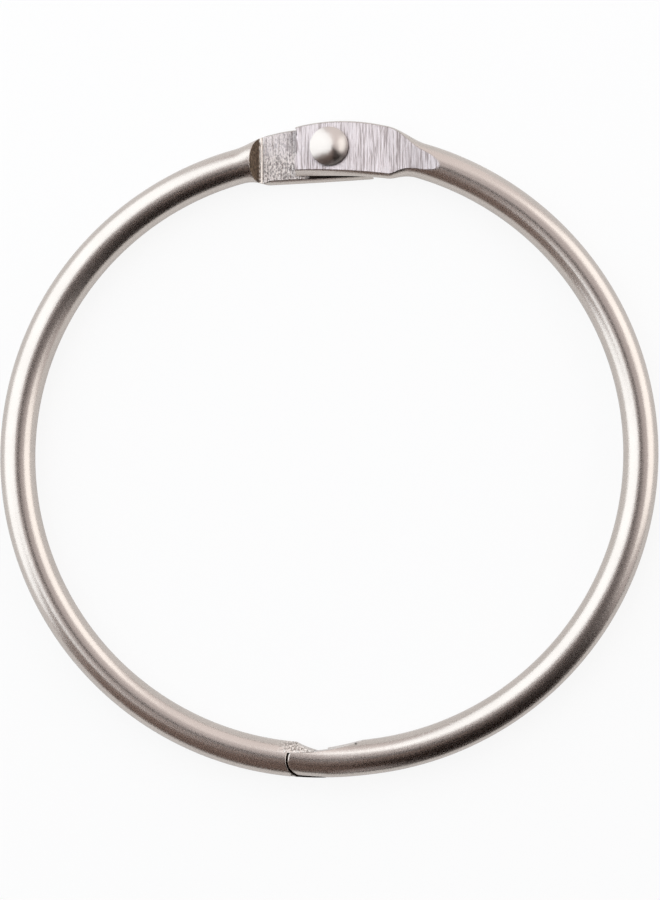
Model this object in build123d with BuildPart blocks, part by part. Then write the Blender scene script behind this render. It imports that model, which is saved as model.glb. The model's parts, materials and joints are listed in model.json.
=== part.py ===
from build123d import *
import math
import os

# A hinged snap ring for a shower curtain, in millimetres. It lies flat on z = 0 with its axis along +Z,
# the rivet at the top of the ring, on +Y, and the clasp at the bottom, on -Y.

# Wire and bend. The left half is bent a little tighter than the right one, and each has its own centre.
wire_diameter = 3.0
bend_radius = 25.96
bend_spread = 0.11
left_centre_x = -0.76
left_centre_y = -0.73
right_centre_x = 0.59
right_centre_y = -0.37

# Hinge lugs. Reaches are measured from the rivet's axis, positive towards the lug's own wire.
pivot_inset = 0.16
coin_depth = 0.35
lug_width_share = 1.547
lug_broadest_reach = 2.2
left_lug_side_radius = 24.0
right_lug_side_radius = 42.0
flank_height_share = 1.913
right_lug_reach = 2.9
left_lug_reach = 3.9
neck_start_reach = 7.9
neck_end_reach = 5.0
neck_section_count = 6
lug_section_count = 4
coin_flat_reach = 6.0
coin_runout_reach = 9.6
coin_runout_rise = 0.02
ramp_foot_reach = 5.75
ramp_run = 0.95
lug_play = 0.05

# Rivet
shank_diameter = 1.8
shank_running_clearance = 0.05
shank_upset_clearance = 0.02
head_diameter = 3.28
head_edge = 0.22
head_height = 1.0
head_flank_radius = 3.2
head_point_diameter = 0.44
head_play = 0.03
tail_diameter = 2.9
tail_thickness = 0.24
tail_edge = 0.1

# Clasp. Reaches run along X from the rivet's axis, positive towards the left half.
tip_reach = 3.55
tip_width_share = 0.7
tip_height_share = 0.94
tip_outset_share = 0.05
tip_taper_start = 4.2
tip_taper_end = 2.2
tip_side_share = 0.117
tip_side_reach = 3.0
tip_side_radius = 18.0
nose_inset = 0.44
nose_relief = 0.05
nose_edge = 0.14
tongue_reach = 0.26
tongue_end_share = 0.683
tongue_taper_reach = 2.74
tongue_hollow = 0.14
lap_gap = 0.13
lip_gap = 0.06
lap_play = 0.1
nib_diameter = 0.9
nib_top_diameter = 0.4
nib_height = 0.28
nib_clearance = 0.08

# How far a cut runs past the metal that it takes away
overrun = 1.0

wire_radius = wire_diameter / 2
wire_mid = wire_radius
lug_thickness = wire_radius - coin_depth
lug_width = wire_diameter * lug_width_share
flank_height = lug_thickness * flank_height_share
tip_width = wire_diameter * tip_width_share
tip_height = wire_diameter * tip_height_share
tip_outset = wire_diameter * tip_outset_share
tip_line = wire_radius + tip_outset - tip_width / 2
tip_side_inset = wire_diameter * tip_side_share
pivot_y = bend_radius - pivot_inset
tongue_top = wire_mid - lap_play / 2

LEFT, RIGHT = -1, 1
HINGE, CLASP = 1, -1
centres = {
    LEFT: Vector(left_centre_x, left_centre_y, wire_mid),
    RIGHT: Vector(right_centre_x, right_centre_y, wire_mid),
}
bend_radii = {half: bend_radius + half * bend_spread for half in (LEFT, RIGHT)}
lug_reaches = {LEFT: left_lug_reach, RIGHT: right_lug_reach}
lug_side_radii = {LEFT: left_lug_side_radius, RIGHT: right_lug_side_radius}


def rim_point(half, x, end, outset=0):
    """Point at x on the circle `outset` outside a half's centreline, at its hinge or clasp end."""
    across = x - centres[half].X
    rise = end * math.sqrt((bend_radii[half] + outset) ** 2 - across**2)
    return centres[half] + Vector(across, rise)


def station(half, x, end, outset=0, lift=0, upright=False):
    """Plane square across a half's wire where its centreline stands at x."""
    on_line = rim_point(half, x, end)
    outward = (on_line - centres[half]).normalized()
    up = Vector(0, 0, 1)
    origin = on_line + outward * outset + up * lift
    return Plane(origin=origin, x_dir=up if upright else outward, z_dir=outward.cross(up))


def wire_angle(half, x, end):
    """Angle of the point at x on a half's centreline, in degrees about the half's own centre."""
    return end * math.degrees(math.acos((x - centres[half].X) / bend_radii[half]))


nose_radius = tip_width / 2 + nose_inset + nose_relief
nose_x = nose_radius - tip_reach
nose_y = rim_point(RIGHT, nose_x, CLASP, tip_line).Y + nose_inset
tip_side_y = rim_point(RIGHT, -tip_side_reach, CLASP).Y + tip_side_inset


def eased(x, start, full):
    """Share from 0 at `start` to 1 at `full`, easing in and out so that one form runs into the next."""
    share = min(max((start - x) / (start - full), 0), 1)
    return share**2 * (3 - 2 * share)


def evenly(start, stop, count):
    """Places of the sections of one loft, evenly spaced from start to stop."""
    return [start + (stop - start) * index / (count - 1) for index in range(count)]


def lug_blank(half):
    """The wire's end swelling from its round section into a broad oval, before it is struck flat."""
    last = -lug_reaches[half] - overrun
    with BuildPart() as blank:
        neck = evenly(neck_start_reach, neck_end_reach, neck_section_count)
        for places in (neck, evenly(neck_end_reach, last, lug_section_count)):
            for along in places:
                swell = eased(along, neck_start_reach, neck_end_reach)
                side_fall = (along - lug_broadest_reach) ** 2 / lug_side_radii[half]
                width = wire_diameter + (lug_width - side_fall - wire_diameter) * swell
                height = wire_diameter + (flank_height - wire_diameter) * swell**2
                lift = half * lug_thickness / 2 * swell**2
                with BuildSketch(station(half, half * along, HINGE, lift=lift)):
                    Ellipse(width / 2, height / 2)
            loft()
    return blank.part


def lug_waste(half):
    """What striking and shearing take off a lug: the other lug's half, the crown and the end."""
    reach = lug_reaches[half]
    far = reach + overrun + lug_width
    foot = lug_play / 2
    depth = wire_radius + overrun
    ramp_top_reach = ramp_foot_reach + ramp_run * depth / wire_radius
    side = Plane(origin=(0, pivot_y, wire_mid), x_dir=(half, 0, 0), z_dir=(0, -1, 0))
    with BuildPart() as waste:
        with BuildSketch(side):
            with BuildLine():
                Polyline(
                    (-far, foot),
                    (ramp_foot_reach, foot),
                    (ramp_top_reach, -depth),
                    (-far, -depth),
                    close=True,
                )
            make_face()
            with BuildLine():
                flat = Line((-far, lug_thickness), (coin_flat_reach, lug_thickness))
                crest = (coin_runout_reach, wire_radius + coin_runout_rise)
                TangentArc(crest, flat @ 1, tangent=(-1, 0))
                Polyline(crest, (coin_runout_reach, depth), (-far, depth), flat @ 0)
            make_face()
            with BuildLine():
                Polyline((-far, -depth), (-reach, -depth), (-reach, depth), (-far, depth), close=True)
            make_face()
        extrude(amount=lug_width, both=True)
    return waste.part


def rivet_hole(clearance):
    """Straight hole for the rivet's shank, cut through whatever stands there."""
    with BuildPart() as hole:
        with BuildSketch(Plane.XY.offset(-overrun)):
            with Locations((0, pivot_y)):
                Circle(shank_diameter / 2 + clearance)
        extrude(amount=wire_diameter + overrun * 2)
    return hole.part


def snap_nib(clearance=0):
    """The nib on the tongue, or, with clearance, the dimple in the tip that it snaps into."""
    x = -(tip_reach + tongue_reach) / 2
    seat = rim_point(RIGHT, x, CLASP, tip_line)
    with BuildPart() as nib:
        with Locations((seat.X, seat.Y, tongue_top)):
            Cone(
                nib_diameter / 2 + clearance,
                nib_top_diameter / 2 + clearance,
                nib_height + clearance,
                align=(Align.CENTER, Align.CENTER, Align.MIN),
            )
    return nib.part


def tip_blank():
    """The right half's end, drawn a little outwards and lower, before its side and nose are cut."""
    with BuildPart() as blank:
        taper_run = evenly(tip_taper_start, -tip_taper_end, neck_section_count)
        for places in (taper_run, evenly(-tip_taper_end, -tip_reach - overrun, lug_section_count)):
            for x in places:
                taper = eased(x, tip_taper_start, -tip_taper_end)
                height = wire_diameter + (tip_height - wire_diameter) * taper
                with BuildSketch(station(RIGHT, x, CLASP, tip_outset * taper, upright=True)):
                    Ellipse(height / 2, wire_radius)
            loft()
    return blank.part


def tip_side_waste(gap=0):
    """Plan of what is pared off the tip's inner side, in one long arc, or of the lip a gap away from it."""
    with BuildSketch() as waste:
        with Locations((-tip_side_reach, tip_side_y + tip_side_radius)):
            Circle(tip_side_radius - gap)
    return waste.sketch


def nose_room(gap, height):
    """Plan of the recess that takes the tip, a gap off its rounded nose and clear of the lip beside it."""
    with BuildSketch(Plane.XY.offset(height)) as room:
        with Locations((nose_x, nose_y)):
            Circle(nose_radius + gap)
            Rectangle(tip_reach + wire_diameter, lug_width, align=(Align.MIN, Align.CENTER))
        add(tip_side_waste(lip_gap), mode=Mode.SUBTRACT)
    return room.sketch


def tongue_waste():
    """Plan of what is cut off past the tongue: its slanted, hollow inner side and its square end."""
    inner = rim_point(LEFT, -tongue_taper_reach, CLASP, -wire_radius)
    corner = rim_point(LEFT, -tongue_reach, CLASP, wire_radius - wire_diameter * tongue_end_share)
    outer = rim_point(LEFT, -tongue_reach, CLASP, wire_radius + overrun)
    far_x = wire_diameter
    with BuildSketch() as waste:
        with BuildLine():
            SagittaArc((inner.X, inner.Y), (corner.X, corner.Y), -tongue_hollow)
            Polyline(
                (corner.X, corner.Y),
                (outer.X, outer.Y),
                (far_x, outer.Y),
                (far_x, inner.Y + overrun),
                (inner.X, inner.Y + overrun),
                (inner.X, inner.Y),
            )
        make_face()
    return waste.sketch


def nose_waste():
    """Plan of what is cut off past the tip's rounded nose."""
    with BuildSketch() as waste:
        with Locations((nose_x, nose_y)):
            Rectangle(tip_width + nose_radius, lug_width, align=(Align.MAX, Align.CENTER))
            Circle(nose_radius, mode=Mode.SUBTRACT)
    return waste.sketch


def tongue_room(height):
    """Plan of the room that the tongue takes under the tip."""
    line = rim_point(LEFT, -tip_reach, CLASP)
    length = tip_reach + overrun - tongue_reach + lap_gap
    with BuildSketch(Plane.XY.offset(height)) as room:
        with Locations((lap_gap - tongue_reach, line.Y)):
            Rectangle(length, lug_width, align=(Align.MAX, Align.CENTER))
    return room.sketch


os.makedirs("parts", exist_ok=True)

# Left half: its lug is the lower one at the hinge, its tongue the lower one at the clasp
with BuildPart() as left_half_ring:
    left_start = wire_angle(LEFT, -neck_start_reach, HINGE)
    left_stop = 360 + wire_angle(LEFT, 0, CLASP)
    with BuildLine():
        CenterArc(centres[LEFT], bend_radii[LEFT], left_start, left_stop - left_start)
    with BuildSketch(station(LEFT, -neck_start_reach, HINGE)):
        Circle(wire_radius)
    sweep()
    add(lug_blank(LEFT))
    add(lug_waste(LEFT), mode=Mode.SUBTRACT)
    add(rivet_hole(shank_upset_clearance), mode=Mode.SUBTRACT)
    extrude(nose_room(lap_gap, tongue_top), amount=wire_diameter, mode=Mode.SUBTRACT)
    extrude(tongue_waste(), amount=wire_diameter + overrun, both=True, mode=Mode.SUBTRACT)
    add(snap_nib())
left_half_ring.part.label = "left_half_ring"
export_step(left_half_ring.part, "parts/left_half_ring.step")

# Right half: its lug and its tip are the upper ones
with BuildPart() as right_half_ring:
    right_start = wire_angle(RIGHT, tip_taper_start, CLASP)
    right_stop = wire_angle(RIGHT, neck_start_reach, HINGE)
    with BuildLine():
        CenterArc(centres[RIGHT], bend_radii[RIGHT], right_start, right_stop - right_start)
    with BuildSketch(station(RIGHT, tip_taper_start, CLASP)):
        Circle(wire_radius)
    sweep()
    add(lug_blank(RIGHT))
    add(tip_blank())
    add(lug_waste(RIGHT), mode=Mode.SUBTRACT)
    add(rivet_hole(shank_running_clearance), mode=Mode.SUBTRACT)
    extrude(tongue_room(tongue_top + lap_play), amount=-wire_diameter, mode=Mode.SUBTRACT)
    extrude(tip_side_waste(), amount=wire_diameter + overrun, both=True, mode=Mode.SUBTRACT)
    extrude(nose_waste(), amount=wire_diameter + overrun, mode=Mode.SUBTRACT)
    nose_face = right_half_ring.faces().sort_by(Axis.X)[0]
    chamfer(nose_face.edges().sort_by(Axis.Z)[-1], nose_edge)
    add(snap_nib(nib_clearance), mode=Mode.SUBTRACT)
right_half_ring.part.label = "right_half_ring"
export_step(right_half_ring.part, "parts/right_half_ring.step")

# Rivet: pointed dome above the upper lug, shank through both, upset tail under the lower lug
with BuildPart() as rivet:
    head_base = wire_mid + lug_thickness + head_play
    tail_top = wire_mid - lug_thickness
    tail_base = tail_top - tail_thickness
    shank_radius = shank_diameter / 2
    with BuildSketch(Plane(origin=(0, pivot_y, 0), x_dir=(1, 0, 0), z_dir=(0, -1, 0))):
        with BuildLine():
            shoulder = (head_diameter / 2, head_base + head_edge)
            point = (head_point_diameter / 2, head_base + head_height)
            Polyline((0, head_base + head_height), (0, tail_base), (tail_diameter / 2, tail_base))
            Polyline(
                (tail_diameter / 2, tail_base),
                (tail_diameter / 2, tail_top),
                (shank_radius, tail_top),
                (shank_radius, head_base),
                (head_diameter / 2, head_base),
                shoulder,
            )
            RadiusArc(shoulder, point, -head_flank_radius)
            Line(point, (0, head_base + head_height))
        make_face()
    revolve(axis=Axis((0, pivot_y, 0), (0, 0, 1)))
    chamfer(rivet.edges().group_by(Axis.Z)[0], tail_edge)
rivet.part.label = "rivet"
export_step(rivet.part, "parts/rivet.step")
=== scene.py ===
import json
import math

import bmesh
import bpy
import numpy as np
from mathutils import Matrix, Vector, noise


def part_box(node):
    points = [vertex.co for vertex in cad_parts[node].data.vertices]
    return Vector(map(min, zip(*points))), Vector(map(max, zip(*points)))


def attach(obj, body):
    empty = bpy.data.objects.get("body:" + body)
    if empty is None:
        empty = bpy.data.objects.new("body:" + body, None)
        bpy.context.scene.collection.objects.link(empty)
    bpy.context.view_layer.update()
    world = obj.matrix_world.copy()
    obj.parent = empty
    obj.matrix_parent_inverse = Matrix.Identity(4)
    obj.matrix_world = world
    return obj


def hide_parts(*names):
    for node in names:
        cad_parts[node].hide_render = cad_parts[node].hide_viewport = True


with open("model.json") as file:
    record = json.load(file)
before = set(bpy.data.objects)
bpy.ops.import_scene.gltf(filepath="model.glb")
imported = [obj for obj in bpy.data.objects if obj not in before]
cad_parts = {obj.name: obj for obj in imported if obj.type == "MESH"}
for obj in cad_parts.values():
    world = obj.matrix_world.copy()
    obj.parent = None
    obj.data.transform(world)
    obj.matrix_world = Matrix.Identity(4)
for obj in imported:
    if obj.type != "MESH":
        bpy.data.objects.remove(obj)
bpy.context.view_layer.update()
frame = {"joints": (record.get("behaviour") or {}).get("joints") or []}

MM = 0.001
LEFT, RIGHT = -1, 1
HINGE, CLASP = 1, -1
BODIES = {LEFT: "left", RIGHT: "right"}
NODES = {LEFT: "left_half_ring", RIGHT: "right_half_ring"}

# Sizes are in millimetres. The wire, the pivot and the heights come from the frame.
left_low, left_high = (np.array(corner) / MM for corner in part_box("left_half_ring"))
_, right_high = (np.array(corner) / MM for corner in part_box("right_half_ring"))
rivet_low, rivet_high = (np.array(corner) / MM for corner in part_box("rivet"))
pivot_y = frame["joints"][0]["pos_m"][1] / MM
wire_radius = (left_high[2] - left_low[2]) / 2
wire_diameter = wire_radius * 2
wire_mid = wire_radius
head_radius = (rivet_high[0] - rivet_low[0]) / 2

# Bend of each half
bend_radii = {LEFT: 25.85, RIGHT: 26.07}
left_reach = bend_radii[LEFT] + wire_radius
right_centre_y = -0.37
centres = {
    LEFT: np.array((left_low[0] + left_reach, left_low[1] + left_reach)),
    RIGHT: np.array((right_high[0] - bend_radii[RIGHT] - wire_radius, right_centre_y)),
}

# Hinge lugs. Reaches run from the rivet's axis, positive towards the lug's own wire.
lug_reaches = {LEFT: left_high[0], RIGHT: 2.9}
lug_side_radii = {LEFT: 24.0, RIGHT: 42.0}
lug_width = wire_diameter * 1.547
lug_thickness = wire_radius - 0.35
flank_height = lug_thickness * 1.913
lug_broadest_reach = 2.2
neck_start_reach, neck_end_reach = 7.9, 5.0
square_start_reach, square_end_reach = 7.0, 4.5
sink_powers = {LEFT: 4, RIGHT: 2}
lug_foot = 0.025
flank_square = 0.6
flank_spread, flank_hollow, spread_start_reach = 0.13, 0.09, 3.5
ramp_foot_reach, ramp_run = 5.75, 0.84
foot_ridge_reach, foot_ridge_height, foot_ridge_width, foot_ridge_lead = 5.84, 0.09, 0.1, 0.2
foot_ridge_rough, foot_ridge_smooth = 3 * foot_ridge_width, 2 * foot_ridge_width
coin_flat_reach, coin_runout_reach = 6.0, 9.6
coin_crest = wire_radius + 0.02
coin_edge = 0.04
dense_reach = 11.0
sheared_depth, sheared_wear = 0.45, 0.22
wear_mean, wear_swing, wear_most = 0.3, 1.3, 1.2
wear_waves, wear_stretch = 1.5, (0, 1, 0.4)
# Painted shade on the left lug's open face next to the right lug's end and beside its edge, and on the struck
# faces towards the neck
shade_start_reach, shade_full_reach = 2.1, 1.6
shade_start_y, shade_full_y = 24.5, 24.2
neck_shade_start, neck_shade_full, neck_shade = 4.5, 7.0, 0.16
edge_shade_start_reach, edge_shade_y, edge_shade_share = 3.7, 25.2, 0.3
notch_y, notch_width, notch_depth = 25.42, 0.14, 0.18
speckled_low_y, speckled_high_y, speckled_low, speckled_high = 24.6, 25.6, 0.68, 0.34
rivet_shade_width = 0.08
scratch_place, scratch_size = (3.42, 25.89), (0.11, 0.075)
crumb_place, crumb_size = (2.28, -25.07), 0.1

# Clasp
tip_reach = 3.55
tip_width, tip_height, tip_outset = wire_diameter * 0.7, wire_diameter * 0.94, wire_diameter * 0.05
tip_line = wire_radius + tip_outset - tip_width / 2
tip_taper_start, tip_taper_end = 4.2, 2.2
tip_side_reach, tip_side_radius, tip_side_inset = 3.0, 18.0, wire_diameter * 0.117
nose_inset, nose_relief, nose_edge = 0.44, 0.05, 0.16
recess_edge, lip_shade, wall_shade, rim_shade = 0.09, 0.1, 0.3, 0.35
seam_start_x, seam_full_x, seam_inset = -0.1, -0.9, 0.06
lap_gap, lip_gap, lap_play = 0.13, 0.025, 0.1
tongue_reach, tongue_taper_reach, tongue_hollow = 0.26, 2.74, 0.14
tongue_end_width = wire_diameter * 0.683
nib_radius, nib_top_radius, nib_height, nib_clearance = 0.45, 0.2, 0.28, 0.08
clasp_dense_x = 6.5
burr_start_x, burr_full_x, burr_height, burr_share = -4.5, -3.5, 0.07, 0.65
burr_waves, burr_sink, burr_blend, burr_reach_down = 3.2, 0.25, 0.05, 0.6
nick_places, nick_width, nick_depth, nick_fade = (-3.21, -2.95), 0.06, 0.12, 1.4

# Roughness of the worn edges: how much each finer wave adds, how much finer it is, and how many there are
rough_fade, rough_step, rough_octaves = 0.8, 2.0, 4

# Spacing of the mesh
coarse_step, fine_step, clasp_step = 0.5, 0.06, 0.07
arc_counts = (13, 38, 14, 13, 38, 14)
plain_breaks = np.radians((60, 120, 240, 300))
steepest_break = math.radians(86)
broadest_break = math.radians(166)
crease = math.radians(0.4)
sharp_angle = math.radians(38)
nose_spread, nose_power = 1.5, 1.5
cut_rounds, loop_rounds = 6, 3
weld_distance = 1e-7
loop_size = sum(arc_counts)
upper_size = arc_counts[0] + arc_counts[1]

# The face at the inner side of a wire's end takes this many points each way, because they may lie on one line
cap_side = 8


def eased(x, start, full):
    """Share from 0 at `start` to 1 at `full`, easing in and out."""
    share = np.clip((start - x) / (start - full), 0, 1)
    return share**2 * (3 - 2 * share)


def ramped(x, start, full):
    """Share from 0 at `start` to 1 at `full` along a straight line."""
    return np.clip((x - start) / (full - start), 0, 1)


def rounded_drop(distance, size):
    """How far a surface falls at a distance from an edge that is rounded to a quarter circle."""
    inside = np.clip(1 - distance / size, 0, 1)
    return size * (1 - np.sqrt(1 - inside**2))


def bell(distance, width):
    """Share that falls off smoothly from 1 on a line or at a place."""
    return np.exp(-((distance / width) ** 2))


def rough(points, scale):
    """Noise of -1 to 1 at points in millimetres, `scale` waves to the millimetre."""
    flat = points.reshape(-1, 3) * scale
    values = [noise.fractal(Vector(p), rough_fade, rough_step, rough_octaves) for p in flat]
    return np.array(values).reshape(points.shape[:-1])


def angle_at(half, x, end):
    """Angle about a half's centre of its centreline at x, rising from its first end to its last."""
    angle = end * np.arccos((x - centres[half][0]) / bend_radii[half])
    return angle + 2 * math.pi if half == LEFT and end == CLASP else angle


def rim_y(half, x, outset=0.0):
    """Y of the circle `outset` outside a half's centreline, at its clasp end."""
    return centres[half][1] - math.sqrt((bend_radii[half] + outset) ** 2 - (x - centres[half][0]) ** 2)


def spaced(start, stop, step):
    """Evenly spaced values from start up to, not including, stop."""
    return np.linspace(start, stop, max(1, math.ceil(abs(stop - start) / step)), endpoint=False)


nose_radius = tip_width / 2 + nose_inset + nose_relief
nose_loops = math.ceil(nose_spread * nose_radius / clasp_step)
nose_x = nose_radius - tip_reach
nose_y = rim_y(RIGHT, nose_x, tip_line) + nose_inset
side_y = rim_y(RIGHT, -tip_side_reach) + tip_side_inset
side_centre = np.array((-tip_side_reach, side_y + tip_side_radius))
nib_x = -(tip_reach + tongue_reach) / 2
nib_y = rim_y(RIGHT, nib_x, tip_line)
tongue_top = wire_mid - lap_play / 2
tip_floor = tongue_top + lap_play


def nose_line(y, gap=0.0):
    """X of the tip's rounded nose, or of the recess round it, at each y."""
    return nose_x - np.sqrt(np.clip((nose_radius + gap) ** 2 - (y - nose_y) ** 2, 0, None))


def side_line(x, gap=0.0):
    """Y of the tip's pared side, or of the lip beside it, at each x."""
    drop = np.clip((tip_side_radius - gap) ** 2 - (x - side_centre[0]) ** 2, 0, None)
    return side_centre[1] - np.sqrt(drop)


def tongue_line(y):
    """X of the tongue's end at each y: square at the outer side, slanted and hollow inside."""
    inner = np.array((-tongue_taper_reach, rim_y(LEFT, -tongue_taper_reach, -wire_radius)))
    corner = np.array((-tongue_reach, rim_y(LEFT, -tongue_reach, wire_radius - tongue_end_width)))
    slant = inner - corner
    share = np.clip((y - corner[1]) / slant[1], 0, 1)
    hollow = 4 * share * (1 - share) * tongue_hollow * np.linalg.norm(slant) / slant[1]
    return corner[0] + slant[0] * share - hollow


def section_sizes(half, theta):
    """Centreline point, sideways direction, width, height, lift and outset of the wire at angles theta."""
    outward = np.stack((np.cos(theta), np.sin(theta)), -1)
    on_line = centres[half] + outward * bend_radii[half]
    x, at_hinge = on_line[..., 0], on_line[..., 1] > 0
    along = np.where(at_hinge, half * x, dense_reach)
    swell = eased(along, neck_start_reach, neck_end_reach)
    side_fall = (along - lug_broadest_reach) ** 2 / lug_side_radii[half]
    width = wire_diameter + (lug_width - side_fall - wire_diameter) * swell
    sunk = swell ** sink_powers[half]
    height = wire_diameter + (flank_height - wire_diameter) * sunk
    lift = half * lug_thickness / 2 * sunk
    outset = np.zeros_like(x)
    if half == RIGHT:
        taper = np.where(at_hinge, 0, eased(x, tip_taper_start, -tip_taper_end))
        height = height + (tip_height - wire_diameter) * taper
        outset = tip_outset * taper
    square = eased(along, square_start_reach, square_end_reach)[..., None]
    sideways = outward * (1 - square) + np.array((0, 1)) * square
    sideways /= np.linalg.norm(sideways, axis=-1, keepdims=True)
    return on_line, sideways, width, height, lift, outset


def surface(half, theta, turn):
    """Points of the wire at angles theta round the ring and turn round the wire, its tip pared inside."""
    on_line, sideways, width, height, lift, outset = section_sizes(half, theta)
    swell = eased(half * on_line[..., 0], neck_start_reach, neck_end_reach)
    squared = np.where(on_line[..., 1] > 0, swell, 0)
    outer = np.clip(np.cos(turn), 0, 1) ** (1 - flank_square * squared)
    across = outset + width / 2 * np.where(np.cos(turn) > 0, outer, np.cos(turn))
    if half == RIGHT:
        lean = squared * ramped(on_line[..., 0], spread_start_reach, -lug_reaches[RIGHT] / 2)
        belly = np.clip(1 - np.abs(np.sin(turn)) * 2, 0, 1)
        spread = flank_spread * belly - flank_hollow * 4 * belly * (1 - belly)
        across = across - np.where(np.cos(turn) < 0, lean * spread, 0)
    up = wire_mid + lift + height / 2 * np.sin(turn)
    points = np.concatenate((on_line + sideways * across[..., None], up[..., None]), -1)
    if half == RIGHT:
        seam = seam_inset * ramped(points[..., 0], seam_start_x, seam_full_x) * (np.cos(turn) > 0)
        points[..., 1] += np.where(points[..., 1] < 0, seam * np.cos(turn), 0)
        at_tip = (points[..., 1] < 0) & (points[..., 0] < tip_taper_start)
        pared = np.minimum(points[..., 1], side_line(points[..., 0]))
        points[..., 1] = np.where(at_tip, pared, points[..., 1])
    return points


def coin_ceiling(along):
    """Height of the struck face above the wire's middle, or far above it where the wire is whole."""
    run = coin_runout_reach - coin_flat_reach
    rise = coin_crest - lug_thickness
    radius = (run**2 + rise**2) / (2 * rise)
    past = np.clip(along - coin_flat_reach, 0, run)
    face = lug_thickness + radius - np.sqrt(radius**2 - past**2)
    return np.where(along < coin_runout_reach, face, wire_diameter)


def lug_floor(along):
    """Height of the face that meets the other lug, and of the ramp behind it."""
    return lug_foot - np.clip(along - ramp_foot_reach - foot_ridge_lead, 0, None) * wire_radius / ramp_run


def hinge_breaks(half, theta):
    """Turns at which the lug's flat faces meet its round flanks."""
    on_line, _, _, height, lift, _ = section_sizes(half, theta)
    along = half * on_line[:, 0]
    rise = height / 2
    steep = math.sin(steepest_break)
    ceiling = np.arcsin(np.clip((coin_ceiling(along) - half * lift) / rise, -1, steep))
    floor = np.arcsin(np.clip((lug_floor(along) - half * lift) / rise, -steep, 1))
    runout_middle = (coin_runout_reach + coin_flat_reach) / 2
    ceiling += (plain_breaks[0] - ceiling) * ramped(along, runout_middle, dense_reach)
    floor += (-plain_breaks[0] - floor) * ramped(along, ramp_foot_reach + ramp_run, dense_reach)
    top, bottom = (ceiling, floor) if half == RIGHT else (-floor, -ceiling)
    return np.stack((top, math.pi - top, math.pi - bottom, 2 * math.pi + bottom), -1)


def side_turn(half, theta, gap=0.0):
    """Turn at which the wire's upper side meets the upright arc between the tip and the lip."""
    _, _, width, _, _, outset = section_sizes(half, theta)
    offset = centres[half] - side_centre
    lean = np.stack((np.cos(theta), np.sin(theta)), -1) @ offset
    squares = lean**2 - offset @ offset + (tip_side_radius - gap) ** 2
    distance = np.sqrt(np.clip(squares, 0, None)) - lean
    across = (distance - bend_radii[half] - outset) * 2 / width
    return np.minimum(np.arccos(np.clip(across, -1, 1)), broadest_break)


def clasp_breaks(half, theta, x, gap=0.0):
    """Turns of the plain wire's breaks, moved to the tip's side or the lip where the clasp starts."""
    share = ramped(np.abs(x), clasp_dense_x, tip_taper_start)
    inner = plain_breaks[1] + (side_turn(half, theta, gap) - plain_breaks[1]) * share
    outer = np.full_like(inner, plain_breaks[0])
    return np.stack((outer, inner, 2 * math.pi - inner, 2 * math.pi - outer), -1)


def turns(breaks):
    """Turns of all the points of each loop, a tight pair of them at each break."""
    flat = np.zeros((len(breaks), 1))
    marks = np.concatenate((flat, breaks[:, :2], flat + math.pi, breaks[:, 2:], flat + 2 * math.pi), -1)
    loops = []
    for index, count in enumerate(arc_counts):
        start = marks[:, index] + (crease if index in (1, 2, 4, 5) else 0)
        stop = marks[:, index + 1] - (crease if index in (0, 1, 3, 4) else 0)
        share = np.linspace(0, 1, count, endpoint=index not in (2, 5))
        loops.append(start[:, None] + (stop - start)[:, None] * share)
    return np.concatenate(loops, -1)


def angles_to(half, line, theta, turn):
    """Angle of each point of a loop where the wire meets an upright cut, given as x at each y."""
    angle = np.full_like(turn, theta)
    for _ in range(cut_rounds):
        points = surface(half, angle, turn)
        angle = angle + (line(points[..., 1]) - points[..., 0]) / bend_radii[half]
    return angle


def lap_turns(half, theta, gap=0.0):
    """Turns of loops whose points differ in angle, one break on the arc between the tip and the lip."""
    return turns(clasp_breaks(half, theta[:, upper_size], np.zeros(len(theta)), gap))


def cut_loop(half, line, x, gap=0.0):
    """Angles and turns of a loop that lies on an upright cut, which crosses the centreline near x."""
    start = angle_at(half, x, CLASP)
    turn = lap_turns(half, np.full((1, loop_size), start), gap)[0]
    for _ in range(loop_rounds):
        theta = angles_to(half, line, start, turn)
        turn = lap_turns(half, theta[None], gap)[0]
    return theta, turn


def widened(theta):
    """One angle for each loop, repeated for all its points."""
    return np.repeat(theta[:, None], loop_size, 1)


def left_stations():
    """Angles and turns of the left half's loops from lug to tongue, and where the tongue starts."""
    hinge_x = np.append(spaced(lug_reaches[LEFT], -dense_reach, fine_step), -dense_reach)
    hinge = angle_at(LEFT, hinge_x, HINGE)
    wire_stop = angle_at(LEFT, -clasp_dense_x, CLASP)
    wire = spaced(hinge[-1], wire_stop, coarse_step / bend_radii[LEFT])[1:]
    clasp_x = spaced(-clasp_dense_x, nose_x - 2 * nose_radius, clasp_step)
    clasp = angle_at(LEFT, clasp_x, CLASP)
    breaks = (
        hinge_breaks(LEFT, hinge),
        np.tile(plain_breaks, (len(wire), 1)),
        clasp_breaks(LEFT, clasp, clasp_x, lip_gap),
    )
    theta = widened(np.concatenate((hinge, wire, clasp)))
    turn = turns(np.concatenate(breaks))
    recess_x = -tip_reach - lap_gap
    wall, wall_turn = cut_loop(LEFT, lambda y: nose_line(y, lap_gap), recess_x, lip_gap)
    end, _ = cut_loop(LEFT, tongue_line, -tongue_reach, lip_gap)
    to_wall = 1 - np.linspace(1, 0, nose_loops)[1:, None] ** nose_power
    to_end = np.linspace(0, 1, math.ceil(tip_reach / clasp_step))[:, None]
    tongue = wall + (end - wall) * to_end
    near_wall = turn[-1] + (wall_turn - turn[-1]) * to_wall
    theta = np.concatenate((theta, theta[-1] + (wall - theta[-1]) * to_wall, tongue))
    turn = np.concatenate((turn, near_wall, lap_turns(LEFT, tongue, lip_gap)))
    return theta, turn, len(theta) - len(tongue)


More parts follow.
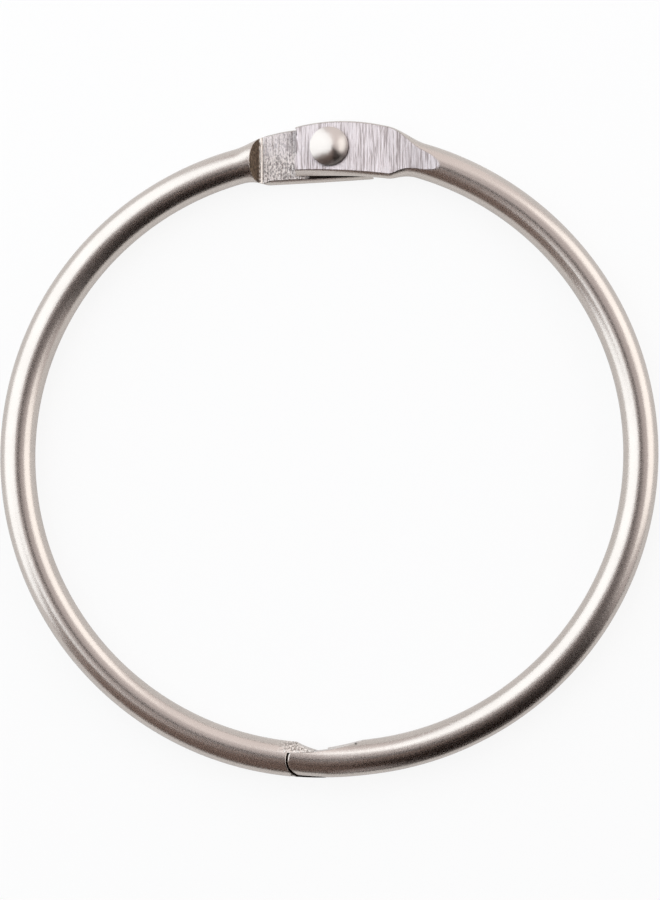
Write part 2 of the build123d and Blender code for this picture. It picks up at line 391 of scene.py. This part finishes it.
def right_stations():
    """Angles and turns of the right half's loops from tip to lug, and where the lap stops."""
    step_x = lap_gap - tongue_reach
    lapped_x = np.append(spaced(nose_x, step_x, clasp_step), step_x)
    clasp_x = np.concatenate((lapped_x, spaced(step_x, clasp_dense_x, clasp_step)))
    clasp = angle_at(RIGHT, clasp_x, CLASP)
    wire_stop = angle_at(RIGHT, dense_reach, HINGE)
    wire = spaced(angle_at(RIGHT, clasp_dense_x, CLASP), wire_stop, coarse_step / bend_radii[RIGHT])
    hinge_x = np.append(spaced(dense_reach, -lug_reaches[RIGHT], fine_step), -lug_reaches[RIGHT])
    hinge = angle_at(RIGHT, hinge_x, HINGE)
    breaks = (
        clasp_breaks(RIGHT, clasp, np.clip(clasp_x, 0, None)),
        np.tile(plain_breaks, (len(wire), 1)),
        hinge_breaks(RIGHT, hinge),
    )
    theta = widened(np.concatenate((clasp, wire, hinge)))
    turn = turns(np.concatenate(breaks))
    nose, _ = cut_loop(RIGHT, nose_line, -tip_reach)
    to_bend = np.linspace(0, 1, nose_loops, endpoint=False)[:, None] ** nose_power
    rounded = nose + (theta[0] - nose) * to_bend
    turn = np.concatenate((lap_turns(RIGHT, rounded), turn))
    return np.concatenate((rounded, theta)), turn, len(rounded) + len(lapped_x)


def nib_rise(points, clearance):
    """Height of the nib, or of the dimple that takes it, over the lapped faces."""
    distance = np.hypot(points[..., 0] - nib_x, points[..., 1] - nib_y)
    fall = ramped(distance, nib_top_radius + clearance, nib_radius + clearance)
    return (nib_height + clearance) * (1 - fall)


def strike_lug(half, points):
    """Strikes the lug flat, wears its sheared end and returns the marks of its faces for the material."""
    along = half * points[..., 0]
    at_hinge = points[..., 1] > 0
    above = half * (points[..., 2] - wire_mid)
    floor = np.where(at_hinge, lug_floor(along), -wire_diameter)
    ceiling = np.where(at_hinge, coin_ceiling(along), wire_diameter)
    ridge = foot_ridge_height * bell(along - foot_ridge_reach, foot_ridge_width)
    struck, lapped = above > ceiling, above < floor
    smooth = ramped(np.abs(along - foot_ridge_reach), foot_ridge_rough, foot_ridge_smooth)
    coined = np.clip((above - ceiling) / coin_edge, 0, 1)
    coined += np.clip((floor - above) / coin_edge, 0, 1) * (1 - smooth)
    ramp_start = ramp_foot_reach + foot_ridge_lead
    ramp = np.where(lapped, ramped(along, ramp_start, ramp_start + fine_step), 0)
    points[..., 2] = wire_mid + half * np.clip(above, floor - np.where(lapped, ridge, 0), ceiling)
    near_end = at_hinge * ramped(along, sheared_depth - lug_reaches[half], -lug_reaches[half])
    worn = np.nonzero(near_end > 0)
    places = points[worn]
    wear = wear_mean + wear_swing * rough(places * wear_stretch, wear_waves)
    bite = sheared_wear * np.clip(wear, 0, wear_most)
    bite += (half == RIGHT) * notch_depth * bell(places[:, 1] - notch_y, notch_width)
    points[worn[0], worn[1], 0] += half * bite * near_end[worn]
    y = points[..., 1]
    # Painted shade on the left lug's face where it meets the right lug and beside the right lug's end, and on
    # the struck faces towards the neck
    shade = ramped(along, shade_start_reach, shade_full_reach) * ramped(y, shade_start_y, shade_full_y)
    edge_shade = edge_shade_share * ramped(along, edge_shade_start_reach, lug_reaches[RIGHT]) * (y > edge_shade_y)
    shade_and_specks = np.where(lapped & at_hinge, np.maximum(shade, edge_shade), 0)
    shade_and_specks += np.where(struck & at_hinge, neck_shade * ramped(along, neck_shade_start, neck_shade_full), 0)
    return coined, ramp, shade_and_specks


def spots(points):
    """Dark marks on the right half: a painted shadow round the lower right of the rivet's head, a scratch on
    the lug, a crumb on the wire.
    """
    x, y, z = points[..., 0], points[..., 1], points[..., 2]
    # Painted shadow of the rivet's head on the lug, on its lower right side
    shade = bell(np.hypot(x, y - pivot_y) - head_radius, rivet_shade_width)
    shade *= np.clip((x - (y - pivot_y)) / head_radius, 0, 1)
    scratch = bell(x - scratch_place[0], scratch_size[0]) * bell(y - scratch_place[1], scratch_size[1])
    crumb = bell(np.hypot(x - crumb_place[0], y - crumb_place[1]), crumb_size)
    return (shade + scratch + crumb) * (z > wire_mid)


def speckle(points, coined):
    """How far pits hide the ridges on the left lug's open face, most towards its inner edge."""
    x, y, z = points[..., 0], points[..., 1], points[..., 2]
    share = speckled_low + (speckled_high - speckled_low) * ramped(y, speckled_low_y, speckled_high_y)
    return share * coined * (z > wire_mid / 2) * (y > 0) * (x > -ramp_foot_reach)


def nick(points, turn):
    """Presses two nicks into the left half's outer side, beside the gap, and returns how dark they are."""
    low = (points[..., 1] < 0) * np.clip(np.cos(turn * nick_fade), 0, 1) * (turn < math.pi / 2)
    share = sum(bell(points[..., 0] - x, nick_width) for x in nick_places) * low
    points[..., 1] += nick_depth * share * np.cos(turn)
    points[..., 2] -= nick_depth * share * np.sin(turn)
    return share


def burr_lip(points, theta, turn, tongue_start):
    """Roughens the squeezed lip beside the tip and returns how far each point belongs to it."""
    x, y, z = points[..., 0], points[..., 1], points[..., 2]
    inner = (y < 0) * ramped(y - side_line(x, lip_gap), -burr_blend, burr_blend)
    burr = ramped(x, burr_start_x, burr_full_x) * inner * (z > wire_mid - burr_reach_down)
    burr[tongue_start:, :upper_size] = 0
    where = np.nonzero(burr > 0)
    lump = burr_height * burr[where] * (rough(points[where], burr_waves) - burr_sink)
    _, sideways, _, _, _, _ = section_sizes(LEFT, theta[where])
    points[where[0], where[1], :2] += sideways * (np.cos(turn[where]) * lump)[:, None]
    points[where[0], where[1], 2] += np.sin(turn[where]) * lump
    return burr_share * burr


def round_recess(recess):
    """Rounds the edge of the wire over the recess that takes the tip's nose."""
    x, y, z = recess[..., 0], recess[..., 1], recess[..., 2]
    rim = (y < side_line(x, lip_gap)) & (z > wire_mid) & (x > -clasp_dense_x)
    gap = nose_line(y, lap_gap) - x
    recess[..., 2] -= np.where(rim, rounded_drop(gap, recess_edge), 0)


def cut_tongue(tongue):
    """Cuts the tongue's upper side down to the lap and its nib, and returns which of its points get painted
    shade: its top where it shows beside the tip's nose and along the outer edge.
    """
    x, y, z = tongue[..., 0], tongue[..., 1], tongue[..., 2]
    rim_gap = y + bend_radii[LEFT] + wire_radius - centres[LEFT][1]
    seen = (x - nose_line(y, lap_gap) < wall_shade) | (rim_gap < rim_shade)
    dark = seen & (z > tongue_top) & (y < side_line(x) - lip_shade)
    tongue[..., 2] = np.minimum(z, tongue_top + nib_rise(tongue, 0))
    return dark


def cut_tip(tip):
    """Rounds the nose's upper edge and cuts the tip's underside flat, with the dimple."""
    past = tip[..., 0] - nose_line(tip[..., 1])
    under = np.arange(loop_size) > loop_size // 2
    tip[..., 2] -= np.where(under, 0, rounded_drop(past, nose_edge))
    dimple = np.where(under, nib_rise(tip, nib_clearance), 0)
    tip[..., 2] = np.maximum(tip[..., 2], tip_floor + dimple)


def build_half(half):
    """Points of a half's loops, with the marks that its material reads."""
    theta, turn, lap = left_stations() if half == LEFT else right_stations()
    points = surface(half, theta, turn)
    coined, ramp, shade_and_specks = strike_lug(half, points)
    if half == LEFT:
        round_recess(points[:lap])
        shade_and_specks[:lap] += nick(points[:lap], turn[:lap])
        burr = burr_lip(points, theta, turn, lap) + speckle(points, coined)
        shade_and_specks[lap:, :upper_size] = cut_tongue(points[lap:, :upper_size])
    else:
        cut_tip(points[:lap])
        burr = np.zeros_like(coined)
        shade_and_specks += spots(points)
    marks = {
        "grain": np.stack((theta * bend_radii[half], turn * wire_radius, np.full_like(turn, half)), -1),
        "coined": coined,
        "ramp": ramp,
        "burr": burr,
        "shade_and_specks": shade_and_specks,
    }
    return points, marks


def weld(mesh):
    """Merges points that the cuts left in one place, so that no face is empty."""
    shape = bmesh.new()
    shape.from_mesh(mesh)
    bmesh.ops.remove_doubles(shape, verts=shape.verts, dist=weld_distance)
    shape.to_mesh(mesh)
    shape.free()


def loft_object(name, points, marks):
    """Closed mesh through a run of loops, its ends filled by strips and one face at the inner side."""
    count, size, _ = points.shape
    index = np.arange(count * size).reshape(count, size)
    ahead = np.roll(index, -1, 1)
    sides = np.stack((index[:-1], index[1:], ahead[1:], ahead[:-1]), -1).reshape(-1, 4)
    caps = []
    for loop, backward in ((index[0], False), (index[-1], True)):
        faces = [list(loop[size // 2 - cap_side : size // 2 + cap_side + 1])]
        for k in range(size // 2 - cap_side):
            strip = (loop[k], loop[k + 1], loop[size - k - 1], loop[(size - k) % size])
            faces.append(list(dict.fromkeys(strip)))
        caps += [face[::-1] if backward else face for face in faces]
    mesh = bpy.data.meshes.new(name)
    mesh.from_pydata((points.reshape(-1, 3) * MM).tolist(), [], sides.tolist() + caps)
    for label, values in marks.items():
        kind, key = ("FLOAT_VECTOR", "vector") if values.ndim == points.ndim else ("FLOAT", "value")
        mesh.attributes.new(label, kind, "POINT").data.foreach_set(key, values.ravel())
    weld(mesh)
    mesh.validate()
    mesh.shade_smooth()
    mesh.set_sharp_from_angle(angle=sharp_angle)
    piece = bpy.data.objects.new(name, mesh)
    bpy.context.scene.collection.objects.link(piece)
    return piece


# Rivet
shank_radius, head_edge, head_flank_radius, head_point_radius = 0.9, 0.22, 3.2, 0.22
head_play, point_crown = 0.03, 0.02
point_shift = np.array((0.35, -0.21))
tail_radius, tail_edge = 1.45, 0.1
# Painted shade on the lower right of the rivet's head, darkest towards its rim
shade_start_radius, shade_azimuth, head_shade_share = 0.7, math.radians(295), 0.8
hole_play = {LEFT: 0.02, RIGHT: 0.05}
rivet_segments = 128
crown_shares = np.linspace(0.05, 1, 8)[:-1]
edge_shares = np.linspace(1, 0, 6)[1:]
tail_shares = (0.6, 0.3, 0.02)
flank_rows = 40


def rivet_profile():
    """Radius and height of the rivet's outline, from the point of its head to the middle of its tail."""
    head_base = wire_mid + lug_thickness + head_play
    head_top, tail_base, tail_top = rivet_high[2], rivet_low[2], wire_mid - lug_thickness
    shoulder = np.array((head_radius, head_base + head_edge))
    point = np.array((head_point_radius, head_top - point_crown))
    chord = shoulder - point
    length = np.linalg.norm(chord)
    inward = np.array((chord[1], -chord[0])) / length
    centre = (shoulder + point) / 2 + inward * math.sqrt(head_flank_radius**2 - (length / 2) ** 2)
    start = math.atan2(*(point - centre)[::-1])
    stop = math.atan2(*(shoulder - centre)[::-1])
    flank = np.linspace(start, stop, flank_rows)
    rows = [(share * head_point_radius, head_top - point_crown * share**2) for share in crown_shares]
    rows += [centre + head_flank_radius * np.array((math.cos(a), math.sin(a))) for a in flank]
    rows += [(head_radius, head_base + share * head_edge) for share in edge_shares]
    rows += [(shank_radius, head_base), (shank_radius, tail_top), (tail_radius, tail_top)]
    rows += [(tail_radius, tail_base + tail_edge), (tail_radius - tail_edge, tail_base)]
    rows += [(share * tail_radius, tail_base) for share in tail_shares]
    return np.array(rows), shoulder[1], head_top


def build_rivet():
    """Loops of the rivet's turned form, its point struck a little off the middle."""
    profile, shoulder_z, head_top = rivet_profile()
    angle = np.linspace(0, 2 * math.pi, rivet_segments, endpoint=False)
    radius, height = profile[:, :1], profile[:, 1:]
    lean = ramped(height, shoulder_z, head_top)
    x = radius * np.cos(angle) + point_shift[0] * lean
    y = pivot_y + radius * np.sin(angle) + point_shift[1] * lean
    points = np.stack((x, y, np.broadcast_to(height, x.shape)), -1)
    flat = np.zeros(x.shape)
    # Painted shade on the head's lower right, growing towards the rim
    lower_shade = ramped(radius, shade_start_radius, radius.max()) * np.clip(np.cos(angle - shade_azimuth), 0, 1)
    shade_and_specks = head_shade_share * lower_shade * (height > wire_mid + lug_thickness)
    return points, {"grain": points.copy(), "coined": flat, "ramp": flat, "burr": flat, "shade_and_specks": shade_and_specks}


def drill(piece, radius):
    """Cuts the rivet's hole through a lug."""
    angle = np.linspace(0, 2 * math.pi, rivet_segments, endpoint=False)
    ring = np.stack((radius * np.cos(angle), pivot_y + radius * np.sin(angle)), -1)
    top, bottom = wire_diameter * 2, -wire_diameter
    rows = [np.column_stack((ring, np.full(len(ring), z))) for z in (top, bottom)]
    tool = loft_object("drill", np.stack(rows), {})
    cut = piece.modifiers.new("hole", "BOOLEAN")
    cut.operation = "DIFFERENCE"
    cut.solver = "EXACT"
    cut.object = tool
    view = bpy.context.evaluated_depsgraph_get()
    drilled = bpy.data.meshes.new_from_object(piece.evaluated_get(view))
    piece.modifiers.clear()
    whole = piece.data
    piece.data = drilled
    bpy.data.meshes.remove(whole)
    drilled.name = piece.name
    bpy.data.objects.remove(tool)


# Finish. The wire's waves run along it and round it, the lugs' along x, y and z, all to the millimetre.
draw_waves, pit_waves, cloud_waves = (0.3, 4.5, 1.0), 4.5, 0.3
ridge_waves, crumb_waves = (9.0, 0.4, 1.0), (8.0, 4.8, 6.5)
cloud_dark, cloud_light = 0.93, 1.07
ridge_limits, ridge_colours = (0.39, 0.52), ((0.44, 0.385, 0.38), (0.8, 0.74, 0.745))
scrape_limits, scrape_colours = (0.41, 0.59), ((0.09, 0.065, 0.045), (0.25, 0.185, 0.13))
crumb_limits, crumb_colours = (0.42, 0.55), ((0.16, 0.135, 0.115), (0.95, 0.88, 0.82))
# Colour of the painted shade in gaps, beside the lugs and round the rivet, and of the dark specks and nicks
shade_and_speck_colour = (0.03, 0.022, 0.018)
struck_dullness, pit_dullness = 0.26, 0.1
draw_height, pit_height, ridge_height, crumb_height, burr_bump = 0.006, 0.005, 0.08, 0.02, 0.06
wire_colour, wire_roughness = (0.58, 0.525, 0.48), 0.27
rivet_colour, rivet_roughness = (0.58, 0.53, 0.49), 0.33
MIX_FIRST, MIX_SECOND, MIX_RESULT = 6, 7, 2


class Nodes:
    """A node tree being put together."""

    def __init__(self, tree):
        self.tree = tree
        tree.nodes.clear()

    def plug(self, socket, value):
        """Links a socket to an output, or sets it to a constant."""
        if isinstance(value, bpy.types.NodeSocket):
            self.tree.links.new(value, socket)
        else:
            socket.default_value = value

    def add(self, kind, settings=None, **inputs):
        """New node with its settings and inputs."""
        node = self.tree.nodes.new("ShaderNode" + kind)
        for key, value in (settings or {}).items():
            setattr(node, key, value)
        for key, value in inputs.items():
            self.plug(node.inputs[key.replace("_", " ")], value)
        return node

    def math(self, operation, *values):
        """Result of a math operation."""
        node = self.add("Math", {"operation": operation})
        for socket, value in zip(node.inputs, values):
            self.plug(socket, value)
        return node.outputs[0]

    def mixed(self, share, first, second):
        """Mix of two colours."""
        node = self.add("Mix", {"data_type": "RGBA"}, Factor=share)
        self.plug(node.inputs[MIX_FIRST], first)
        self.plug(node.inputs[MIX_SECOND], second)
        return node.outputs[MIX_RESULT]

    def mottled(self, waves, limits, colours):
        """Mix of two colours by a noise that rises through its limits."""
        low, high = limits
        share = self.add("MapRange", Value=waves, From_Min=low, From_Max=high).outputs["Result"]
        return self.mixed(share, *(tinted(colour) for colour in colours))

    def stretched(self, place, scale):
        """Place scaled along its three directions."""
        return self.add("Mapping", Vector=place, Scale=scale).outputs["Vector"]

    def waves(self, place, scale, detail, roughness, distortion=0.0):
        """Noise at a place."""
        return self.add(
            "TexNoise", Vector=place, Scale=scale, Detail=detail, Roughness=roughness, Distortion=distortion
        ).outputs["Fac"]


def tinted(colour, factor=1.0):
    """RGBA of a colour made lighter or darker."""
    return (*(min(1, channel * factor) for channel in colour), 1)


def metal(name, base, roughness):
    """Satin nickel with draw marks and fine pits; struck faces duller and ridged, burrs rougher."""
    material = bpy.data.materials.new(name)
    material.use_nodes = True
    n = Nodes(material.node_tree)
    grain = n.add("Attribute", {"attribute_name": "grain"}).outputs["Vector"]
    coined, ramp, burr, shade_and_specks = (
        n.add("Attribute", {"attribute_name": mark}).outputs["Fac"]
        for mark in ("coined", "ramp", "burr", "shade_and_specks")
    )
    place = n.stretched(n.add("TexCoord").outputs["Object"], (1 / MM, 1 / MM, 1 / MM))

    streaks = n.waves(n.stretched(grain, draw_waves), 1.0, detail=3.0, roughness=0.6)
    pits = n.waves(grain, pit_waves, detail=4.0, roughness=0.6)
    clouds = n.waves(grain, cloud_waves, detail=2.0, roughness=0.5)
    ridges = n.waves(n.stretched(place, ridge_waves), 1.0, detail=2.5, roughness=0.55, distortion=0.6)
    crumbs = n.waves(n.stretched(place, crumb_waves), 1.0, detail=4.0, roughness=0.65)

    colour = n.mixed(clouds, tinted(base, cloud_dark), tinted(base, cloud_light))
    colour = n.mixed(coined, colour, n.mottled(ridges, ridge_limits, ridge_colours))
    colour = n.mixed(ramp, colour, n.mottled(crumbs, scrape_limits, scrape_colours))
    colour = n.mixed(burr, colour, n.mottled(crumbs, crumb_limits, crumb_colours))
    # Painted shade in gaps, beside the lugs and round the rivet, mixed with dark specks and nicks
    colour = n.mixed(shade_and_specks, colour, tinted(shade_and_speck_colour))

    struck = n.math("MAXIMUM", coined, burr)
    dull = n.math("MULTIPLY_ADD", struck, struck_dullness, roughness - pit_dullness / 2)
    roughness_all = n.math("MULTIPLY_ADD", pits, pit_dullness, dull)
    smooth = n.math("SUBTRACT", 1.0, coined)
    wire_height = n.math("MULTIPLY_ADD", streaks, draw_height, n.math("MULTIPLY", pits, pit_height))
    lug_height = n.math("MULTIPLY_ADD", ridges, ridge_height, n.math("MULTIPLY", crumbs, crumb_height))
    wire_share, lug_share = n.math("MULTIPLY", wire_height, smooth), n.math("MULTIPLY", lug_height, coined)
    height = n.math("ADD", wire_share, lug_share)
    height = n.math("MULTIPLY_ADD", n.math("MULTIPLY", crumbs, burr), burr_bump, height)
    bump = n.add("Bump", Strength=1.0, Distance=MM, Height=height).outputs["Normal"]
    shader = n.add(
        "BsdfPrincipled", Metallic=1.0, Base_Color=colour, Roughness=roughness_all, Normal=bump
    )
    n.add("OutputMaterial", Surface=shader.outputs["BSDF"])
    return material


wire_metal = metal("satin_nickel", wire_colour, wire_roughness)
rivet_metal = metal("rivet_nickel", rivet_colour, rivet_roughness)

for half in (LEFT, RIGHT):
    piece = loft_object(BODIES[half] + "_wire", *build_half(half))
    drill(piece, shank_radius + hole_play[half])
    piece.data.materials.clear()
    piece.data.materials.append(wire_metal)
    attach(piece, BODIES[half])
    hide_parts(NODES[half])

rivet = loft_object("rivet_pin", *build_rivet())
rivet.data.materials.append(rivet_metal)
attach(rivet, "left")
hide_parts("rivet")

# Stage. Distances are in metres, angles and spans of the sky in degrees.
sheet_lift = 0.0002
brown = (0.24, 0.175, 0.15)
world_colour = (0.715, 0.66, 0.67)
paper_colour = (0.9, 0.9, 0.9)
floor_size = 4.0
floor_glow_seen, floor_glow_mirrored = 0.88, 0.4


def sky_place(azimuth, polar, distance):
    """Point in the sky above the ring, in metres."""
    azimuth, polar = math.radians(azimuth), math.radians(polar)
    flat = math.sin(polar)
    return Vector((math.cos(azimuth) * flat, math.sin(azimuth) * flat, math.cos(polar))) * distance


def put(piece, place):
    """Adds an object to the scene, facing the ring from its place."""
    piece.location = place
    piece.rotation_euler = place.to_track_quat("Z", "Y").to_euler()
    bpy.context.scene.collection.objects.link(piece)
    return piece


def spans_at(distance, spans):
    """Width and height that fill the given spans of the sky, in degrees, at a distance."""
    return [2 * distance * math.tan(math.radians(span / 2)) for span in spans]


def softbox(name, azimuth, polar, spans, distance, radiance, colour):
    """Rectangular lamp that fills part of the sky with an even light."""
    lamp = bpy.data.lights.new(name, "AREA")
    lamp.shape = "RECTANGLE"
    lamp.size, lamp.size_y = spans_at(distance, spans)
    lamp.energy = radiance * math.pi * lamp.size * lamp.size_y
    lamp.color = colour
    put(bpy.data.objects.new(name, lamp), sky_place(azimuth, polar, distance)).visible_camera = False


def sheet_object(name, width, height, shader, top_share=1.0):
    """Flat sheet about its own middle, with one plain material and a top edge that may be narrower."""
    mesh = bpy.data.meshes.new(name)
    x, y = width / 2, height / 2
    corners = [(-x, -y, 0), (x, -y, 0), (x * top_share, y, 0), (-x * top_share, y, 0)]
    mesh.from_pydata(corners, [], [(0, 1, 2, 3)])
    mesh.materials.append(shader)
    piece = bpy.data.objects.new(name, mesh)
    return piece


def dull_cover(name, colour):
    """Plain matt material for a card."""
    cover = bpy.data.materials.new(name)
    cover.use_nodes = True
    n = Nodes(cover.node_tree)
    n.add("OutputMaterial", Surface=n.add("BsdfDiffuse", Color=tinted(colour)).outputs[0])
    return cover


def card(name, azimuth, polar, spans, distance, colour, top_share=1.0):
    """Card that keeps part of the sky dark, out of the camera's sight."""
    sheet = sheet_object(name, *spans_at(distance, spans), dull_cover(name, colour), top_share)
    put(sheet, sky_place(azimuth, polar, distance)).visible_camera = False


def reflected_shade_sheet(name, azimuth, near, size, colour):
    """Dark sheet lying on the floor that only the wire reflects: painted shade in the wire's reflections of
    the floor.
    """
    sheet = sheet_object(name, *size, dull_cover(name, colour))
    sheet.location = sky_place(azimuth, 90, near + size[0] / 2) + Vector((0, 0, sheet_lift))
    sheet.rotation_euler.z = math.radians(azimuth)
    bpy.context.scene.collection.objects.link(sheet)
    sheet.visible_camera = sheet.visible_shadow = sheet.visible_diffuse = False


softbox(
    "white_softbox", azimuth=162, polar=53, spans=(99, 73), distance=0.5,
    radiance=1.36, colour=(0.8, 0.93, 1.0),
)
softbox(
    "cream_softbox", azimuth=17, polar=66, spans=(60, 44), distance=0.5,
    radiance=1.22, colour=(0.92, 0.96, 0.96),
)
softbox(
    "fill_panel", azimuth=74, polar=62, spans=(44, 56), distance=0.55,
    radiance=0.4, colour=(1.0, 0.97, 0.97),
)
card(
    "black_card", azimuth=304, polar=40, spans=(70, 97), distance=0.3,
    colour=(0.012, 0.005, 0.003), top_share=0.09,
)
card("lens_hood", azimuth=124, polar=15, spans=(16, 15), distance=0.27, colour=(0.5, 0.45, 0.44))
card("brown_card", azimuth=243, polar=62, spans=(60, 56), distance=0.32, colour=brown)
card("brown_flap", azimuth=263, polar=25, spans=(22, 26), distance=0.31, colour=brown)
# Painted shade in the wire's reflections of the floor towards the lower right
reflected_shade_sheet("reflected_floor_shade", azimuth=296, near=0.036, size=(0.4, 0.14), colour=(0.04, 0.025, 0.018))

# Floor, nearly white to the camera with the ring's shadow on it, and partly white in reflections
paper = bpy.data.materials.new("white_paper")
paper.use_nodes = True
n = Nodes(paper.node_tree)
path = n.add("LightPath").outputs
reflected = n.math("MAXIMUM", path["Is Glossy Ray"], path["Is Transmission Ray"])
mirrored = n.math("MULTIPLY", reflected, floor_glow_mirrored)
seen = n.math("MULTIPLY", path["Is Camera Ray"], floor_glow_seen)
sheen = n.add("MixShader", Fac=n.math("MAXIMUM", seen, mirrored))
n.plug(sheen.inputs[1], n.add("BsdfDiffuse", Color=tinted(paper_colour)).outputs[0])
n.plug(sheen.inputs[2], n.add("Emission", Color=(1, 1, 1, 1), Strength=1.0).outputs[0])
n.add("OutputMaterial", Surface=sheen.outputs[0])
floor = sheet_object("floor", floor_size, floor_size, paper)
bpy.context.scene.collection.objects.link(floor)

world = bpy.data.worlds.new("studio")
bpy.context.scene.world = world
world.use_nodes = True
n = Nodes(world.node_tree)
n.add("OutputWorld", Surface=n.add("Background", Color=tinted(world_colour), Strength=1.0).outputs[0])

# Camera straight above, as far off as the photograph's mild perspective suggests
camera_height = 250.0
view_height = 76.95
view_centre = (0.0855, -0.06)
camera_data = bpy.data.cameras.new("camera")
camera_data.sensor_width = 36.0
camera_data.lens = camera_data.sensor_width * camera_height / view_height
camera_data.clip_start = 0.01
camera = bpy.data.objects.new("camera", camera_data)
camera.location = (view_centre[0] * MM, view_centre[1] * MM, (wire_mid + camera_height) * MM)
bpy.context.scene.collection.objects.link(camera)
bpy.context.scene.camera = camera
bpy.context.scene.view_settings.view_transform = "Standard"
